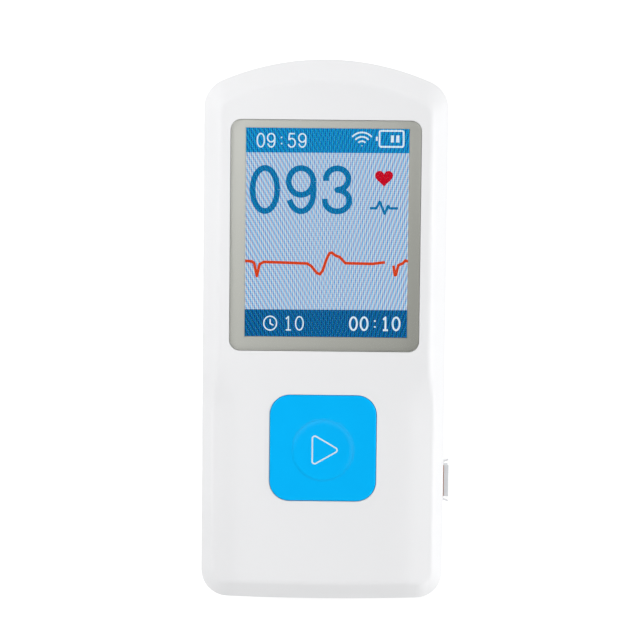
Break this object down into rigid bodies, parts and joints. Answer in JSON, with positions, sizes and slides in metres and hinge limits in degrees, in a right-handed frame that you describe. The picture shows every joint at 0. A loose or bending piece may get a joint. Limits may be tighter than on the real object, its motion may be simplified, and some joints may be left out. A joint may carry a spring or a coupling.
{
  "type": "ecg home monitor",
  "caption": "Hand-held heart monitor with an arched, bevelled white housing, a colour display behind a flush window, a square blue start key, finger electrodes and a charging socket.",
  "frame": {"origin": "middle of the flat back of the housing, which the device lies on", "axes": "+X towards the side with the charging socket, +Y along the body towards the arched end above the display, +Z out of the display"},
  "size_m": [0.0464, 0.101, 0.015],
  "materials": {
    "white_housing": "satin moulded white plastic",
    "blue_key": "satin moulded blue plastic",
    "clear_window": "clear acrylic, polished",
    "grey_print": "grey ink on the back of the window",
    "black_tape": "double-sided foam tape",
    "grey_foam": "soft foam",
    "display_glass": "lit display glass",
    "white_tray": "white moulding",
    "amber_film": "amber polyimide film",
    "ivory_socket": "ivory connector moulding",
    "black_moulding": "black moulding",
    "tinned_steel": "tinned sheet steel",
    "gilt_contacts": "gold-plated spring metal",
    "green_board": "green solder mask",
    "electrode_steel": "brushed stainless steel",
    "battery_foil": "satin foil pouch",
    "red_wire": "red wire",
    "black_wire": "black wire"
  },
  "bodies": {
    "housing": {"front_cover": "white_housing", "back_cover": "white_housing", "display_lens": "clear_window", "lens_print": "grey_print", "lens_tape": "black_tape", "display_gasket": "grey_foam", "battery_pad": "grey_foam", "display_panel": "display_glass", "backlight_frame": "white_tray", "display_bracket": "white_tray", "display_cable": "amber_film", "socket_tape": "amber_film", "cable_socket": "ivory_socket", "battery_plug": "ivory_socket", "switch_base": "black_moulding", "processor": "black_moulding", "heart_amplifier": "black_moulding", "charge_chip": "black_moulding", "socket_tongue": "black_moulding", "switch_cover": "tinned_steel", "radio_can": "tinned_steel", "socket_shell": "tinned_steel", "socket_contacts": "gilt_contacts", "back_pin": "gilt_contacts", "right_spring": "gilt_contacts", "left_spring": "gilt_contacts", "main_board": "green_board", "radio_board": "green_board", "right_electrode": "electrode_steel", "left_electrode": "electrode_steel", "back_electrode": "electrode_steel", "battery": "battery_foil", "battery_lead_red": "red_wire", "battery_lead_black": "black_wire"},
    "key": {"key_cap": "blue_key"},
    "switch_button": {"switch_plunger": "black_moulding"}
  },
  "joints": [
    {"name": "key_press", "type": "slide", "parent": "housing", "child": "key", "axis": [0, 0, -1], "range_m": [0, 0.0003], "stiffness_N_per_m": 1500},
    {"name": "switch_press", "type": "slide", "parent": "housing", "child": "switch_button", "axis": [0, 0, -1], "range_m": [0, 0.0003]}
  ],
  "couplings": [
    {"joint": "switch_press", "follows": "key_press", "ratio": 1}
  ]
}
